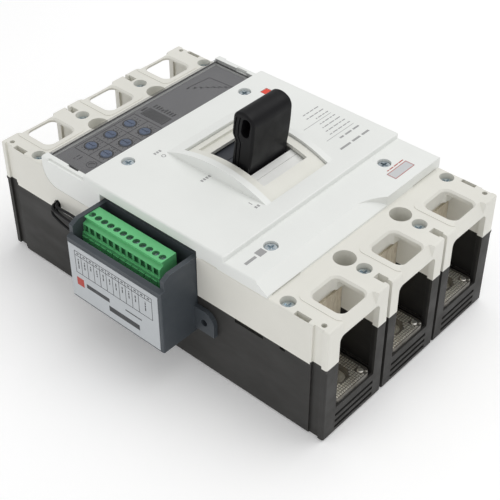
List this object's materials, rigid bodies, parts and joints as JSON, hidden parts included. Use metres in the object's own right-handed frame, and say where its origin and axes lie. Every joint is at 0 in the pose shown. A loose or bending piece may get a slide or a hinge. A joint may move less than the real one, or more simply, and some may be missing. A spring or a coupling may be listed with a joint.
{
  "type": "air circuit breaker",
  "caption": "Moulded-case power circuit breaker with rocking handle, setting dials under a hinged smoked window, open-ended terminals and a side plug-in terminal module.",
  "frame": {"origin": "centre of the case's back face", "axes": "+X towards the side terminal module, +Y along the case towards the line terminals, +Z out of the front"},
  "size_m": [0.126, 0.1764, 0.0914],
  "materials": {
    "base_plastic": "moulded, fine matte grain",
    "housing_plastic": "moulded, cream",
    "cover_plastic": "moulded, white",
    "smoke_window": "smoked clear plastic",
    "steel": "zinc-plated pressed steel",
    "dial_panel": "printed grey panel",
    "inner_plastic": "glass-filled moulding",
    "circuit_board": "green solder mask",
    "display_glass": "flat display",
    "dial_plastic": "moulded",
    "red_button": "moulded",
    "spring_steel": "bright wire",
    "handle_plastic": "fine grain",
    "slate_shutter": "moulded",
    "grey_shutter": "moulded",
    "tin_copper": "tin-plated copper",
    "contact_silver": "silver alloy",
    "braid_copper": "woven copper",
    "fibre_board": "pressed fibre",
    "zinc_screw": "bright zinc",
    "module_plastic": "moulded slate",
    "label_film": "printed film",
    "green_plastic": "moulded",
    "lead_jacket": "flexible jacket"
  },
  "bodies": {
    "case": {"arc_plates_1": "steel", "arc_plates_2": "steel", "arc_plates_3": "steel", "arc_walls": "fibre_board", "base_case": "base_plastic", "bearing_keepers": "inner_plastic", "cover_screws": "zinc_screw", "current_transformers": "inner_plastic", "fixed_contacts": "contact_silver", "flexible_braids": "braid_copper", "front_cover": "cover_plastic", "housing_screws": "zinc_screw", "lead_grommets": "lead_jacket", "leads": "lead_jacket", "line_terminal_1": "tin_copper", "line_terminal_2": "tin_copper", "line_terminal_3": "tin_copper", "load_terminal_1": "tin_copper", "load_terminal_2": "tin_copper", "load_terminal_3": "tin_copper", "mechanism_frame": "steel", "mechanism_pins": "steel", "module_board": "circuit_board", "module_box": "module_plastic", "module_header": "green_plastic", "module_label": "label_film", "module_screws": "zinc_screw", "terminal_barriers": "fibre_board", "terminal_nuts": "steel", "terminal_pins": "tin_copper", "trip_button_spring": "spring_steel", "trip_display": "display_glass", "trip_faceplate": "dial_panel", "trip_pcb": "circuit_board", "trip_unit_case": "inner_plastic", "upper_housing": "housing_plastic", "window_pins": "steel"},
    "window": {"trip_window": "smoke_window"},
    "handle": {"handle_knob": "handle_plastic", "handle_yoke": "steel", "upper_links": "steel", "main_springs": "spring_steel", "shutter_front": "grey_shutter", "shutter_rear": "slate_shutter"},
    "switching_shaft": {"crossbar": "inner_plastic", "lower_links": "steel", "moving_arm_1": "tin_copper", "moving_arm_2": "tin_copper", "moving_arm_3": "tin_copper", "moving_contacts": "contact_silver"},
    "trip_button": {"trip_button": "red_button"},
    "trip_bar": {"trip_bar": "inner_plastic"},
    "plug": {"terminal_plug": "green_plastic", "plug_screws": "zinc_screw"},
    "dial_1": {"dial_1": "dial_plastic"},
    "dial_2": {"dial_2": "dial_plastic"},
    "dial_3": {"dial_3": "dial_plastic"},
    "dial_4": {"dial_4": "dial_plastic"},
    "dial_5": {"dial_5": "dial_plastic"},
    "dial_6": {"dial_6": "dial_plastic"}
  },
  "joints": [
    {"name": "handle_swing", "type": "hinge", "parent": "case", "child": "handle", "pos_m": [0, 0.0065, 0.02], "axis": [-1, 0, 0], "range_deg": [-13.5, 10]},
    {"name": "shaft_turn", "type": "hinge", "parent": "case", "child": "switching_shaft", "pos_m": [0, 0.02, 0.017], "axis": [-1, 0, 0], "range_deg": [-13.5, 10]},
    {"name": "window_swing", "type": "hinge", "parent": "case", "child": "window", "pos_m": [0, -0.0602, 0.0595], "axis": [1, 0, 0], "range_deg": [0, 110]},
    {"name": "button_press", "type": "slide", "parent": "case", "child": "trip_button", "axis": [0, 0, -1], "range_m": [0, 0.0016], "stiffness_N_per_m": 400, "springref_m": -0.002, "deforming": ["trip_button_spring"]},
    {"name": "trip_bar_turn", "type": "hinge", "parent": "case", "child": "trip_bar", "pos_m": [0, -0.03, 0.024], "axis": [-1, 0, 0], "range_deg": [0, 12]},
    {"name": "plug_pull", "type": "slide", "parent": "case", "child": "plug", "axis": [0, 0, 1], "range_m": [0, 0.012]},
    {"name": "dial_1_turn", "type": "hinge", "parent": "case", "child": "dial_1", "pos_m": [0.033, -0.0541, 0.057], "axis": [0, 0, 1], "range_deg": [-150, 150]},
    {"name": "dial_2_turn", "type": "hinge", "parent": "case", "child": "dial_2", "pos_m": [0.0221, -0.0541, 0.057], "axis": [0, 0, 1], "range_deg": [-150, 150]},
    {"name": "dial_3_turn", "type": "hinge", "parent": "case", "child": "dial_3", "pos_m": [0.011, -0.0541, 0.057], "axis": [0, 0, 1], "range_deg": [-150, 150]},
    {"name": "dial_4_turn", "type": "hinge", "parent": "case", "child": "dial_4", "pos_m": [0.033, -0.045, 0.057], "axis": [0, 0, 1], "range_deg": [-150, 150]},
    {"name": "dial_5_turn", "type": "hinge", "parent": "case", "child": "dial_5", "pos_m": [0.0221, -0.045, 0.057], "axis": [0, 0, 1], "range_deg": [-150, 150]},
    {"name": "dial_6_turn", "type": "hinge", "parent": "case", "child": "dial_6", "pos_m": [0.011, -0.045, 0.057], "axis": [0, 0, 1], "range_deg": [-150, 150]}
  ],
  "couplings": [
    {"joint": "shaft_turn", "follows": "handle_swing", "ratio": 1},
    {"joint": "trip_bar_turn", "follows": "button_press", "rad_per_m": 130}
  ]
}
